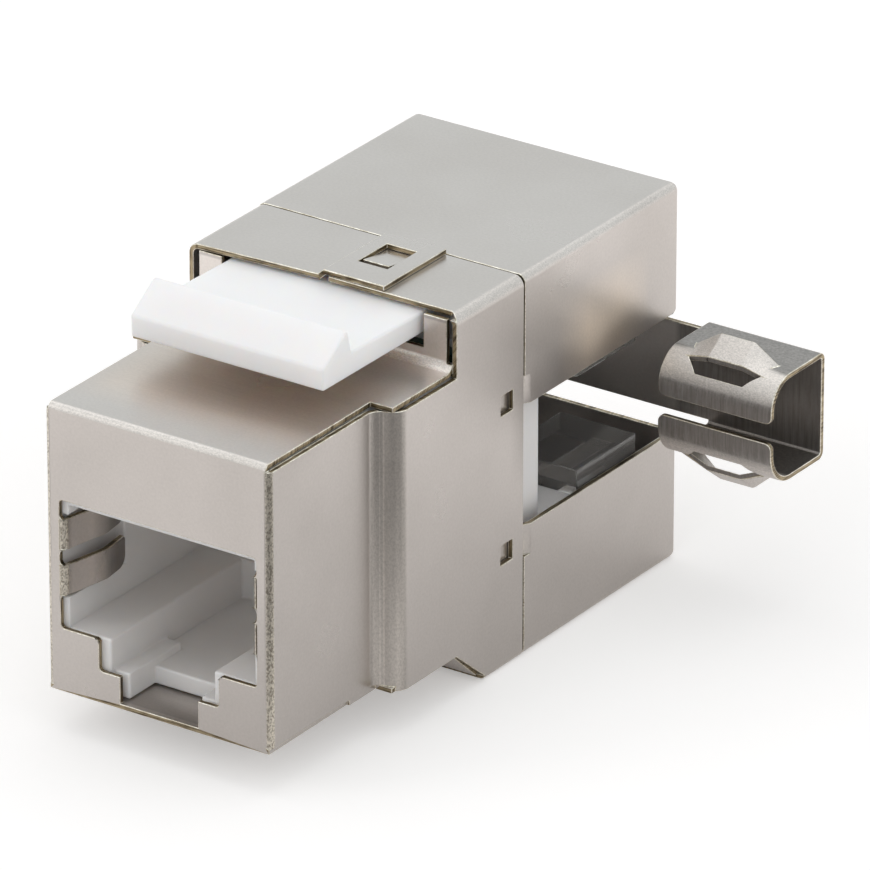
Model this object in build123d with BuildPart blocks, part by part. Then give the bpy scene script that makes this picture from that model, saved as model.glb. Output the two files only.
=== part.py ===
"""Shielded, tool-free keystone jack for structured cabling.

X runs across the jack, Y from the front face to the back, and Z up from its
underside. All sizes are in millimetres. The front face stands at Y = 0 and
the jack is centred on X = 0, apart from the cable clamp on its right.
"""

import os

from build123d import *

# Sheet metal of the front shield, the rear covers and the clamp
sheet = 0.3
lap_gap = 0.03
seam = 0.1
fit = 0.05
overcut = 1.0
mid = sheet / 2

# Outside of the front shield, from the socket outwards
socket_width = 12.6
face_side = 0.9
shoulder_step = 1.4
nose_low = 2.5
nose_height = 16.6
hood_rise = 3.2
hood_front = 15.05
hood_length = 6.35
cover_length = 14.9
nose_width = socket_width + 2 * face_side
body_width = nose_width + 2 * shoulder_step
nose_top = nose_low + nose_height
body_height = nose_top + hood_rise
seam_y = hood_front + hood_length
body_length = seam_y + cover_length

# Bends and edges of the front shield
shoulder_start = 8.9
shoulder_run = 1.7
shelf_jog = 9.5
corner_bend = 0.25
shelf_bend = 0.4
shelf_inset = 0.27
wall_bend = 0.7
hood_bend = 0.45
wall_side = 0.65
flap_length = 3.6
flap_setback = 0.45
shelf_slit = 0.08
bottom_flush = 7.1
shoulder_end = shoulder_start + shoulder_run
wall_width = body_width - 2 * wall_side
hood_flat = body_width / 2 - mid - hood_bend
flap_edge = hood_front + flap_setback
flap_front = seam_y - flap_length

# Lapped top flaps of the front shield, with their lock
lap_start = -0.5
lap_rise = 0.35
lap_end = 3.65
lock_x = 1.6
lock_width = 1.9
lock_length = 2.7
lock_inset = 1.25
lock_back = seam_y - lock_inset
lock_front = lock_back - lock_length

# Planes that the folded sheet follows, and the room inside it
nose_mid = nose_width / 2 - mid
body_mid = body_width / 2 - mid
nose_inside = nose_width / 2 - sheet
body_inside = body_width / 2 - sheet
shelf_mid = nose_top - mid
wall_mid = hood_front + mid
roof_inside = body_height - sheet
middle = body_height / 2
hood_back = seam_y - seam / 2
cover_front = seam_y + seam / 2

# Rear covers, one each side of the cable gap
cable_gap = 7.1
cover_bend = 0.3
cover_corner = 0.6
ear_reach = 2.3
ear_height = 1.75
ear_joggle = 0.7
hook_reach = 1.0
hook_width = 3.0
hook_inset = 3.6
cover_height = (body_height - cable_gap) / 2
hook_x = body_width / 2 - hook_inset

# Square holes that the snaps of the rear covers show in
snap_inset = 2.2
snap_size = 1.15
snap_drop = 1.4
snap_depth = 0.4
snap_front = seam_y - snap_inset
snap_low = cover_height - snap_drop

# Socket opening in the front face
socket_height = 7.45
ledge_rise = 3.7
step_rise = 1.85
step_width = 7.7
slot_width = 5.0
opening_round = 0.25
socket_ledge = nose_low + ledge_rise
socket_top = socket_ledge + socket_height
step_top = nose_low + step_rise

# Earthing spring fingers beside the socket
finger_count = 2
finger_rise = 1.9
finger_height = 1.75
finger_pitch = 2.65
finger_reach = 5.0
finger_bow = 0.75
finger_bow_y = 3.0
finger_bow_bend = 1.0
finger_tip_in = 0.5
finger_tip_corner = 0.25
finger_tip_round = 0.7
finger_root = 0.3
finger_low = socket_ledge + finger_rise
finger_lows = [finger_low + index * finger_pitch for index in range(finger_count)]
finger_crest = socket_width / 2 - finger_bow
finger_tip = socket_width / 2 - finger_tip_in

# Panel latch
latch_width = 12.34
latch_front = 6.35
latch_thick = 1.25
latch_drop = 0.45
ridge_slope = 2.22
ridge_back = 2.6
ridge_rise = 1.5
ridge_face = 1.3
latch_lead_rise = 0.15
root_set = 4.55
root_radius = 0.9
notch_drop = 0.6
notch_side = 0.3
latch_top = body_height - latch_drop
latch_low = latch_top - latch_thick
latch_lead = latch_top + latch_lead_rise
ridge_top = latch_top + ridge_rise
ridge_shoulder = latch_low + ridge_face
ridge_top_y = latch_front + ridge_slope
ridge_foot_y = latch_front + ridge_back
root_y = hood_front + root_set
root_z = roof_inside - fit - root_radius
notch_low = latch_low - notch_drop

# Circuit board
board_thick = 1.2
board_side = 0.9
board_lift = 0.4
board_drop = 0.4
board_front = hood_front + sheet + 2 * fit
board_width = body_width - 2 * board_side
board_low = nose_low + board_lift
board_top = notch_low - board_drop

# Moulded insert of the socket
cavity_side = 0.35
cavity_drop = 0.4
cavity_depth = 12.5
channel_width = 6.6
channel_rise = 1.4
well_depth = 2.9
rib_width = 1.0
rib_front = 0.6
rib_back = 5.3
cavity_width = socket_width - 2 * cavity_side
cavity_top = socket_top - cavity_drop
channel_floor = nose_low + channel_rise
insert_back = board_front - fit

# Contact wires of the socket, and the chamber that they lie in
contact_count = 8
contact_pitch = 1.02
contact_width = 0.4
contact_thick = 0.3
contact_drop = 1.8
contact_nose_y = 3.4
contact_bend = 0.6
contact_tip_y = 10.9
contact_hang = 0.75
contact_tail = 0.45
chamber_side = 0.53
chamber_front = 2.4
chamber_drop = 1.05
carrier_thick = 0.5
carrier_front = 4.5
contact_z = nose_top - contact_drop
contact_tip_z = cavity_top - contact_hang
contact_tail_y = board_front + board_thick + contact_tail
contact_span = (contact_count - 1) * contact_pitch
chamber_width = contact_span + contact_width + 2 * chamber_side
chamber_top = nose_top - chamber_drop
contact_places = [index * contact_pitch - contact_span / 2 for index in range(contact_count)]

# Terminal block and its insulation-displacement contacts
block_side = 1.0
block_depth = 7.6
block_sink = 0.6
foot_x = 3.8
foot_width = 2.5
saddle_gap = 0.2
ledge_reach = 3.1
ledge_thick = 1.0
ledge_drop = 0.6
fork_count = 4
fork_pitch = 3.8
fork_set = 1.7
fork_thick = 0.4
fork_width = 1.9
fork_length = 3.9
fork_slot = 0.35
fork_slot_length = 2.4
leg_width = 0.6
block_width = body_width - 2 * block_side
block_front = board_front + board_thick + fit
block_back = block_front + block_depth
block_low = nose_low - block_sink
block_top = notch_low
ledge_back = block_back + ledge_reach
ledge_top = cover_height - ledge_drop
ledge_low = ledge_top - ledge_thick
leg_z = (ledge_low + ledge_top) / 2
fork_y = block_back + fork_set
fork_tip = leg_z - fork_length
fork_span = (fork_count - 1) * fork_pitch
fork_places = [index * fork_pitch - fork_span / 2 for index in range(fork_count)]

# Wire caps in the rear covers
cap_gap = 0.2
cap_drop = 0.4
wire_groove = 1.3
wire_groove_depth = 1.3
tower_inner = 3.0
tower_side = 0.7
tower_gap = 0.1
tower_inset = 3.0
tower_rise = 0.8
cap_front = block_back + cap_gap
cap_top = ledge_low - cap_drop
cap_floor = cap_top - wire_groove_depth
tower_outer = body_width / 2 - tower_side
tower_front = ledge_back + tower_gap
tower_back = body_length - tower_inset
tower_top = cover_height + tower_rise

# Cable clamp on the upper rear cover
arm_height = 5.3
arm_drop = 0.5
arm_neck = -1.0
clamp_reach = 2.2
clamp_length = 7.2
clamp_depth = 5.3
clamp_over = 0.55
clamp_under = 0.45
clamp_lip_height = 2.75
clamp_flap_height = 2.4
clamp_bend = 1.7
clamp_lip_bend = 1.9
clamp_small_bend = 0.3
clamp_corner = 0.4
bridge_inset = 3.6
bridge_length = 5.2
bridge_crown = 2.1
bridge_set = 1.0
bridge_width = 1.3
bridge_lead = 0.65
bridge_lead_narrow = 0.8
upper_rise_front = 0.3
upper_rise_back = 1.0
lower_rise_front = 0.65
lower_rise_back = 1.35
arm_top = body_height - cover_height - arm_drop
arm_low = arm_top - arm_height
clamp_start = body_width / 2 + clamp_reach
clamp_end = clamp_start + clamp_length
clamp_front = body_length - clamp_depth
clamp_low = arm_low - clamp_under
clamp_top = arm_top + clamp_over
clamp_lip = clamp_low + clamp_lip_height
clamp_flap = clamp_top - clamp_flap_height
bridge_x = clamp_start + bridge_inset
bridge_front = clamp_front + bridge_set
bridge_back = bridge_front + bridge_width
bridge_top = clamp_top - mid
bridge_bottom = clamp_low + mid

os.makedirs("parts", exist_ok=True)


def write(builder, label):
    """Label a finished piece and write it to its own file."""
    builder.part.label = label
    export_step(builder.part, f"parts/{label}.step")


def cut_box(x_range, y_range, z_range, mode=Mode.SUBTRACT):
    """Cut or add a box given by its ranges along X, Y and Z."""
    size = [high - low for low, high in (x_range, y_range, z_range)]
    centre = [(high + low) / 2 for low, high in (x_range, y_range, z_range)]
    with Locations(tuple(centre)):
        Box(*size, mode=mode)


# Front shield: one blank of nickel-plated sheet, folded round the whole front.
# The face carries the sides and the shelf, and the sides carry the top flaps.
def spring_finger(low):
    """One earthing finger, folded back from the left edge of the socket."""
    edge = socket_width / 2
    high = low + finger_height
    with BuildPart() as finger:
        with BuildSketch(Plane.XY.offset(low)):
            with BuildLine():
                FilletPolyline(
                    (-edge - sheet, mid),
                    (-edge + mid, mid),
                    (-finger_crest, finger_bow_y),
                    (-finger_tip, finger_reach),
                    radius=[sheet, finger_bow_bend],
                )
            trace(line_width=sheet)
        extrude(amount=finger_height)
        # Its tip is rounded off, more below than above
        tip = finger_reach - fit
        with BuildSketch(Plane.YZ):
            Polygon((-overcut, low), (tip, low), (tip, high), (-overcut, high), align=None)
            fillet(vertices().group_by(Axis.X)[-1].sort_by(Axis.Y)[0], finger_tip_round)
            fillet(vertices().group_by(Axis.X)[-1].sort_by(Axis.Y)[-1], finger_tip_corner)
        extrude(amount=body_width, both=True, mode=Mode.INTERSECT)
    return finger.part


with BuildPart() as front_shield:
    # Face and sides, from above
    with BuildSketch(Plane.XY.offset(nose_low)):
        with BuildLine():
            Line((0, mid), (nose_mid - corner_bend, mid))
            TangentArc(
                (nose_mid - corner_bend, mid),
                (nose_mid, mid + corner_bend),
                tangent=(1, 0),
            )
            Line((nose_mid, mid + corner_bend), (nose_mid, shoulder_start))
            shoulder = ((nose_mid + body_mid) / 2, (shoulder_start + shoulder_end) / 2)
            TangentArc((nose_mid, shoulder_start), shoulder, tangent=(0, 1))
            TangentArc((body_mid, shoulder_end), shoulder, tangent=(0, -1))
            Line((body_mid, shoulder_end), (body_mid, hood_back))
        trace(line_width=sheet)
        mirror(about=Plane.YZ)
    extrude(amount=nose_top - sheet - shelf_slit - nose_low)
    cut_box(
        (-nose_width, nose_width),
        (-overcut, shelf_bend),
        (nose_top - shelf_bend, nose_top),
    )

    # Shelf, rounded over the top of the face and turned up into a wall
    with BuildSketch(Plane.YZ):
        with BuildLine():
            TangentArc(
                (mid, nose_top - shelf_bend),
                (shelf_bend, shelf_mid),
                tangent=(0, 1),
            )
            Line((shelf_bend, shelf_mid), (wall_mid - wall_bend, shelf_mid))
            TangentArc(
                (wall_mid - wall_bend, shelf_mid),
                (wall_mid, shelf_mid + wall_bend),
                tangent=(1, 0),
            )
            Line((wall_mid, shelf_mid + wall_bend), (wall_mid, roof_inside - fit))
        trace(line_width=sheet)
    extrude(amount=body_width / 2 - shelf_inset, both=True)
    for side in (-1, 1):
        cut_box(
            sorted((side * (nose_width / 2 - shelf_inset), side * body_width)),
            (-overcut, shelf_jog),
            (nose_top - shelf_bend, nose_top + overcut),
        )
        cut_box(
            sorted((side * wall_width / 2, side * body_width)),
            (hood_front - wall_bend, hood_front + overcut),
            (nose_top + wall_bend / 2, body_height),
        )
    notch = latch_width / 2 + notch_side
    cut_box(
        (-notch, notch),
        (hood_front - overcut, hood_front + overcut),
        (notch_low, body_height),
    )

    # Hood: bottom flaps, sides and lapped top flaps behind the wall
    with BuildSketch(Plane.XZ.offset(-hood_front)):
        with BuildLine():
            FilletPolyline(
                (seam, mid),
                (body_mid, mid),
                (body_mid, body_height - mid),
                (seam, body_height - mid),
                radius=[corner_bend, hood_bend],
            )
        trace(line_width=sheet)
        with BuildLine():
            FilletPolyline(
                (-seam, mid),
                (-body_mid, mid),
                (-body_mid, body_height - mid),
                (lap_start, body_height - mid),
                radius=[corner_bend, hood_bend],
            )
            Polyline(
                (lap_start, body_height - mid),
                (lap_start + lap_rise, body_height + lap_gap + mid),
                (lap_end, body_height + lap_gap + mid),
            )
        trace(line_width=sheet)
    extrude(amount=hood_front - hood_back)
    # Front edge of the top flaps, which runs back to the lap and stays there
    with BuildSketch(Plane.XY.offset(roof_inside - fit / 2)):
        Polygon(
            (-hood_flat, hood_front - overcut),
            (body_width / 2, hood_front - overcut),
            (body_width / 2, hood_front),
            (hood_flat, flap_edge),
            (lap_start, flap_edge),
            (-hood_flat, hood_front),
            align=None,
        )
    extrude(amount=overcut, mode=Mode.SUBTRACT)
    with BuildSketch(Plane.YZ):
        Polygon(
            (hood_front - overcut, -overcut),
            (hood_front - overcut, nose_low),
            (hood_front, nose_low),
            (flap_front, corner_bend),
            (flap_front, -overcut),
            align=None,
        )
    extrude(amount=body_width, both=True, mode=Mode.SUBTRACT)

    # Bottom plate of the nose, with the ramp that closes the hood in front
    with BuildSketch(Plane.YZ):
        with BuildLine():
            Polyline(
                (0, nose_low + mid),
                (hood_front, nose_low + mid),
                (flap_front - sheet, sheet + mid),
            )
        trace(line_width=sheet)
    extrude(amount=body_inside - fit, both=True)
    for side in (-1, 1):
        cut_box(
            sorted((side * nose_mid, side * body_width)),
            (-overcut, bottom_flush),
            (0, nose_low + sheet),
        )
        cut_box(
            sorted((side * nose_width / 2, side * body_width)),
            (-overcut, shelf_jog),
            (0, nose_low + sheet),
        )
        cut_box(
            sorted((side * slot_width / 2, side * body_width)),
            (-overcut, 0),
            (0, nose_low + sheet),
        )

    # Socket opening, stepped for the plug's own latch
    with BuildSketch(Plane.XZ):
        with BuildLine():
            Polyline(
                (0, nose_low + sheet),
                (slot_width / 2, nose_low + sheet),
                (slot_width / 2, step_top),
                (step_width / 2, step_top),
                (step_width / 2, socket_ledge),
                (socket_width / 2, socket_ledge),
                (socket_width / 2, socket_top),
                (0, socket_top),
                close=True,
            )
        make_face()
        mirror(about=Plane.YZ)
        fillet(vertices().filter_by(lambda v: abs(v.X) > slot_width / 2 + fit), opening_round)
    extrude(amount=sheet, both=True, mode=Mode.SUBTRACT)

    # Spring fingers on both edges of the opening, with rounded roots
    for low in finger_lows:
        add(spring_finger(low))
        add(mirror(spring_finger(low), about=Plane.YZ, mode=Mode.PRIVATE))
    with BuildSketch(Plane.XZ):
        for low in finger_lows:
            for root, way in ((low, -1), (low + finger_height, 1)):
                corner = (-socket_width / 2, root)
                inner = (corner[0] + finger_root, root)
                outer = (corner[0], root + way * finger_root)
                with BuildLine():
                    Line(corner, inner)
                    RadiusArc(inner, outer, way * finger_root)
                    Line(outer, corner)
                make_face()
        mirror(about=Plane.YZ)
    extrude(amount=-sheet)

    # Square holes for the snaps, and the locked window in the lapped flap
    for low in (snap_low, body_height - snap_low - snap_size):
        for side in (-1, 1):
            cut_box(
                sorted((side * body_inside - side * sheet, side * body_width)),
                (snap_front, snap_front + snap_size),
                (low, low + snap_size),
            )
    cut_box(
        (lock_x - lock_width / 2, lock_x + lock_width / 2),
        (lock_front, lock_back),
        (body_height + lap_gap / 2, body_height + overcut),
    )
    with BuildSketch(Plane.YZ.offset(lock_x - lock_width / 2 + 2 * fit)):
        Polygon(
            (lock_front + sheet, body_height - fit),
            (lock_front + sheet, body_height + lap_gap + sheet),
            (lock_back - sheet, body_height),
            (lock_back - sheet, body_height - fit),
            align=None,
        )
    extrude(amount=lock_width - 4 * fit)

write(front_shield, "front_shield")


# Socket insert: white moulding that fills the nose and guides the plug
with BuildPart() as socket_insert:
    cut_box(
        (-nose_inside + fit, nose_inside - fit),
        (sheet + fit, insert_back),
        (nose_low + sheet + fit, nose_top - sheet - fit),
        mode=Mode.ADD,
    )
    # Front edges cleared for the bends of the shield
    front_edges = socket_insert.faces().sort_by(Axis.Y)[0].edges()
    fillet(front_edges.filter_by(Axis.Z), corner_bend)
    top_edge = socket_insert.faces().sort_by(Axis.Y)[0].edges().sort_by(Axis.Z)[-1]
    fillet(top_edge, shelf_bend)
    cut_box(
        (-body_inside + 2 * fit, body_inside - 2 * fit),
        (shoulder_end + sheet, insert_back),
        (nose_low + sheet + fit, nose_top - sheet - shelf_slit - fit),
        mode=Mode.ADD,
    )
    # Plug cavity with its ledges, channel and front well
    cut_box(
        (-cavity_width / 2, cavity_width / 2),
        (0, cavity_depth),
        (socket_ledge, cavity_top),
    )
    cut_box(
        (-channel_width / 2, channel_width / 2),
        (0, cavity_depth - sheet),
        (channel_floor, socket_ledge),
    )
    cut_box(
        (-channel_width / 2, channel_width / 2),
        (0, well_depth),
        (0, channel_floor),
    )
    for side in (-1, 1):
        inner = side * (channel_width / 2 - rib_width)
        cut_box(
            sorted((inner, side * (channel_width / 2 + fit))),
            (rib_front, rib_back),
            (nose_low + sheet + fit, step_top),
            mode=Mode.ADD,
        )
        # Recess that the spring fingers bend into
        cut_box(
            sorted((side * (cavity_width / 2 - fit), side * (socket_width / 2 + mid))),
            (0, finger_reach + sheet),
            (finger_lows[0] - mid, finger_lows[-1] + finger_height + mid),
        )
    # Chamber above the cavity for the contact wires
    cut_box(
        (-chamber_width / 2, chamber_width / 2),
        (chamber_front, cavity_depth),
        (cavity_top, chamber_top),
    )
    cut_box(
        (-chamber_width / 2, chamber_width / 2),
        (chamber_front, insert_back),
        (contact_z - contact_thick / 2 - fit, chamber_top),
    )

write(socket_insert, "socket_insert")


# Contact carrier: comb that holds the eight contact wires apart
carrier_low = contact_z + contact_thick / 2 + fit
with BuildPart() as contact_carrier:
    cut_box(
        (-chamber_width / 2 + fit, chamber_width / 2 - fit),
        (carrier_front, insert_back - fit),
        (carrier_low, carrier_low + carrier_thick),
        mode=Mode.ADD,
    )
    for place in contact_places[:-1]:
        gap_half = (contact_pitch - contact_width) / 2 - fit
        rib_x = place + contact_pitch / 2
        cut_box(
            (rib_x - gap_half, rib_x + gap_half),
            (cavity_depth, insert_back - fit),
            (contact_z - contact_thick / 2, carrier_low),
            mode=Mode.ADD,
        )

write(contact_carrier, "contact_carrier")


# Contact wires: gold-plated springs, soldered in the board and bent back
# over the nose of the chamber so that their tips slope down into the cavity
for number, place in enumerate(contact_places, start=1):
    with BuildPart() as contact:
        with BuildSketch(Plane.YZ.offset(place - contact_width / 2)):
            with BuildLine():
                turn_y = contact_nose_y + contact_bend
                low_z = contact_z - 2 * contact_bend
                Line((contact_tail_y, contact_z), (turn_y, contact_z))
                TangentArc(
                    (turn_y, contact_z),
                    (turn_y, low_z),
                    tangent=(-1, 0),
                )
                Line((turn_y, low_z), (contact_tip_y, contact_tip_z))
            trace(line_width=contact_thick)
        extrude(amount=contact_width)
    write(contact, f"jack_contact_{number}")


# Circuit board: stands across the jack and joins both sets of contacts
with BuildPart() as circuit_board:
    cut_box(
        (-board_width / 2, board_width / 2),
        (board_front, board_front + board_thick),
        (board_low, board_top),
        mode=Mode.ADD,
    )
    with BuildSketch(Plane.XZ.offset(-board_front)):
        with Locations(*[(place, contact_z) for place in contact_places]):
            Circle(max(contact_width, contact_thick) / 2 + 2 * fit)
        for height in (leg_z, body_height - leg_z):
            with Locations(*[(place, height) for place in fork_places]):
                Circle(leg_width / 2 + 3 * fit)
    extrude(amount=-board_thick, mode=Mode.SUBTRACT)

write(circuit_board, "circuit_board")


# Terminal block: white moulding behind the board, with a ledge above and
# below the cable gap for the insulation-displacement contacts
with BuildPart() as terminal_block:
    cut_box(
        (-block_width / 2, block_width / 2),
        (block_front, block_back),
        (block_low, block_top),
        mode=Mode.ADD,
    )
    for low, high in (
        (ledge_low, ledge_top),
        (body_height - ledge_top, body_height - ledge_low),
    ):
        cut_box(
            (-block_width / 2, block_width / 2),
            (block_back - fit, ledge_back),
            (low, high),
            mode=Mode.ADD,
        )
    # Ribs that centre it between the sides, and feet on the bottom flaps
    for side in (-1, 1):
        cut_box(
            sorted((side * (block_width / 2 - fit), side * (body_inside - fit))),
            (block_front, snap_front - 2 * sheet),
            (nose_low + 2 * sheet, block_top - 2 * sheet),
            mode=Mode.ADD,
        )
        cut_box(
            sorted((side * (foot_x - foot_width / 2), side * (foot_x + foot_width / 2))),
            (flap_front + sheet, cover_front - hook_reach),
            (sheet + fit, block_low),
            mode=Mode.ADD,
        )
    # Saddle for the latch's root
    saddle_back = root_y + root_radius + sheet
    cut_box(
        (-block_width / 2, block_width / 2),
        (root_y - root_radius - sheet, saddle_back),
        (block_top - fit, latch_low - saddle_gap),
        mode=Mode.ADD,
    )
    cut_box(
        (-block_width / 2, block_width / 2),
        (root_y + root_radius / 2, saddle_back),
        (block_top - fit, root_z),
        mode=Mode.ADD,
    )
    with BuildSketch(Plane.YZ):
        with Locations((root_y, root_z)):
            Circle(root_radius + fit)
    extrude(amount=latch_width / 2 + 2 * fit, both=True, mode=Mode.SUBTRACT)
    # Room for the solder tails, the contact legs and the forks
    cut_box(
        (-chamber_width / 2, chamber_width / 2),
        (block_front - fit, contact_tail_y + 4 * fit),
        (contact_z - 3 * contact_thick, contact_z + 3 * contact_thick),
    )
    for mirrored in (False, True):
        for place in fork_places:
            z_ranges = [
                (leg_z - fork_thick / 2 - fit, leg_z + fork_thick / 2 + fit),
                (ledge_low - fit, leg_z + fork_thick / 2 + fit),
            ]
            if mirrored:
                z_ranges = [
                    (body_height - high, body_height - low) for low, high in z_ranges
                ]
            cut_box(
                (place - leg_width / 2 - fit, place + leg_width / 2 + fit),
                (block_front - fit, fork_y),
                z_ranges[0],
            )
            cut_box(
                (place - fork_width / 2 - fit, place + fork_width / 2 + fit),
                (fork_y - fork_thick / 2 - fit, fork_y + fork_thick / 2 + fit),
                z_ranges[1],
            )

write(terminal_block, "terminal_block")


# Insulation-displacement contacts: a leg back from the board that turns
# into a slotted fork, pointing down in the lower row and up in the upper
def fork_contact(place):
    """One contact of the lower row."""
    with BuildPart() as piece:
        cut_box(
            (place - leg_width / 2, place + leg_width / 2),
            (board_front, fork_y),
            (leg_z - fork_thick / 2, leg_z + fork_thick / 2),
            mode=Mode.ADD,
        )
        with BuildSketch(Plane.XZ.offset(-fork_y - fork_thick / 2)):
            half = fork_width / 2
            slot_end = fork_tip + fork_slot_length
            Polygon(
                (place - half, leg_z + fork_thick / 2),
                (place - half, fork_tip + half / 2),
                (place - fork_slot, fork_tip),
                (place - fork_slot / 2, fork_tip + fork_slot),
                (place - fork_slot / 2, slot_end),
                (place + fork_slot / 2, slot_end),
                (place + fork_slot / 2, fork_tip + fork_slot),
                (place + fork_slot, fork_tip),
                (place + half, fork_tip + half / 2),
                (place + half, leg_z + fork_thick / 2),
                align=None,
            )
        extrude(amount=fork_thick)
    return piece.part


for number, place in enumerate(fork_places, start=1):
    with BuildPart() as lower_fork:
        add(fork_contact(place))
    write(lower_fork, f"lower_idc_contact_{number}")
    with BuildPart() as upper_fork:
        add(mirror(fork_contact(place), about=Plane.XY.offset(middle), mode=Mode.PRIVATE))
    write(upper_fork, f"upper_idc_contact_{number}")


# Panel latch: white tongue on a round root, with a wedge-shaped ridge that
# snaps behind the panel's lip
with BuildPart() as panel_latch:
    with BuildSketch(Plane.YZ):
        Polygon(
            (latch_front, latch_low + fit),
            (latch_front, ridge_shoulder),
            (ridge_top_y, ridge_top),
            (ridge_foot_y, latch_lead),
            (hood_front - sheet, latch_top),
            (root_y, latch_top),
            (root_y, latch_low),
            (hood_front, latch_low),
            align=None,
        )
        with Locations((root_y, root_z)):
            Circle(root_radius)
    extrude(amount=latch_width / 2, both=True)

write(panel_latch, "panel_latch")


# Rear covers: folded sheet lids that turn about the seam of the front shield.
# Hooks tucked under its edge carry them, and ears with snaps hold them shut.
def rear_cover():
    """The lower cover, open towards the cable gap."""
    with BuildPart() as cover:
        with BuildSketch(Plane.XZ.offset(-cover_front)):
            with BuildLine():
                FilletPolyline(
                    (-body_mid, cover_height),
                    (-body_mid, mid),
                    (body_mid, mid),
                    (body_mid, cover_height),
                    radius=cover_bend,
                )
            trace(line_width=sheet)
        extrude(amount=cover_front - body_length)
        # Back wall, folded up from the bottom plate, with all its bends rounded
        with BuildSketch(Plane.XZ.offset(sheet - body_length)):
            with BuildLine():
                FilletPolyline(
                    (-body_width / 2, cover_height),
                    (-body_width / 2, 0),
                    (body_width / 2, 0),
                    (body_width / 2, cover_height),
                    radius=cover_bend + mid,
                )
                Line((-body_width / 2, cover_height), (body_width / 2, cover_height))
            make_face()
        extrude(amount=-sheet)
        back_edges = cover.faces().sort_by(Axis.Y)[-1].edges()
        fillet(back_edges.filter_by_position(Axis.Z, -fit, cover_height - fit), cover_bend)
        # Ears beside the cable gap, joggled in under the front shield
        ear_mid = body_inside - fit - mid
        for side in (-1, 1):
            inner = side * (ear_mid - mid)
            cut_box(
                sorted((side * body_inside - side * fit, side * body_width)),
                (cover_front - overcut, cover_front + ear_joggle),
                (cover_height - ear_height, cover_height + overcut),
            )
            with BuildSketch(Plane.XY.offset(cover_height - ear_height)):
                with BuildLine():
                    Polyline(
                        (side * ear_mid, cover_front - ear_reach),
                        (side * ear_mid, cover_front),
                        (side * body_mid, cover_front + ear_joggle),
                        (side * body_mid, cover_front + 2 * ear_joggle),
                    )
                trace(line_width=sheet)
            extrude(amount=ear_height)
            # Snap, just under the square hole
            with BuildSketch(Plane.YZ.offset(inner)):
                with Locations(
                    (snap_front + snap_size / 2, snap_low + snap_size / 2),
                ):
                    Rectangle(snap_depth, snap_size - 2 * fit)
            extrude(amount=-side * sheet)
            # Hooks that the cover turns on
            cut_box(
                sorted((side * (hook_x - hook_width / 2), side * (hook_x + hook_width / 2))),
                (cover_front - hook_reach, cover_front + 2 * sheet),
                (sheet + fit, 2 * sheet + fit),
                mode=Mode.ADD,
            )
            cut_box(
                sorted((side * (hook_x - hook_width / 2), side * (hook_x + hook_width / 2))),
                (cover_front, cover_front + 2 * sheet),
                (sheet - fit, sheet + 2 * fit),
                mode=Mode.ADD,
            )
    return cover.part


with BuildPart() as lower_rear_cover:
    add(rear_cover())

write(lower_rear_cover, "lower_rear_cover")


def lanced_bridge(base, bend, way, rise_front, rise_back):
    """A strip of the clamp's wall at height base, pushed out between two cuts.

    Its front edge starts on the wall's bend, so that it lies lower than its back edge.
    """
    run = clamp_front + mid + bend - bridge_front
    front_base = base - way * (bend - (bend**2 - run**2) ** 0.5)
    with BuildPart() as strip:
        for y, foot, rise in (
            (bridge_front, front_base, rise_front),
            (bridge_back, base, rise_back),
        ):
            with BuildSketch(Plane.XZ.offset(-y)):
                with BuildLine():
                    FilletPolyline(
                        (bridge_x - bridge_length / 2, foot),
                        (bridge_x - bridge_crown / 2, foot + way * rise),
                        (bridge_x + bridge_crown / 2, foot + way * rise),
                        (bridge_x + bridge_length / 2, foot),
                        radius=sheet,
                    )
                trace(line_width=sheet)
        loft(ruled=True)
    return strip.part


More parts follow.
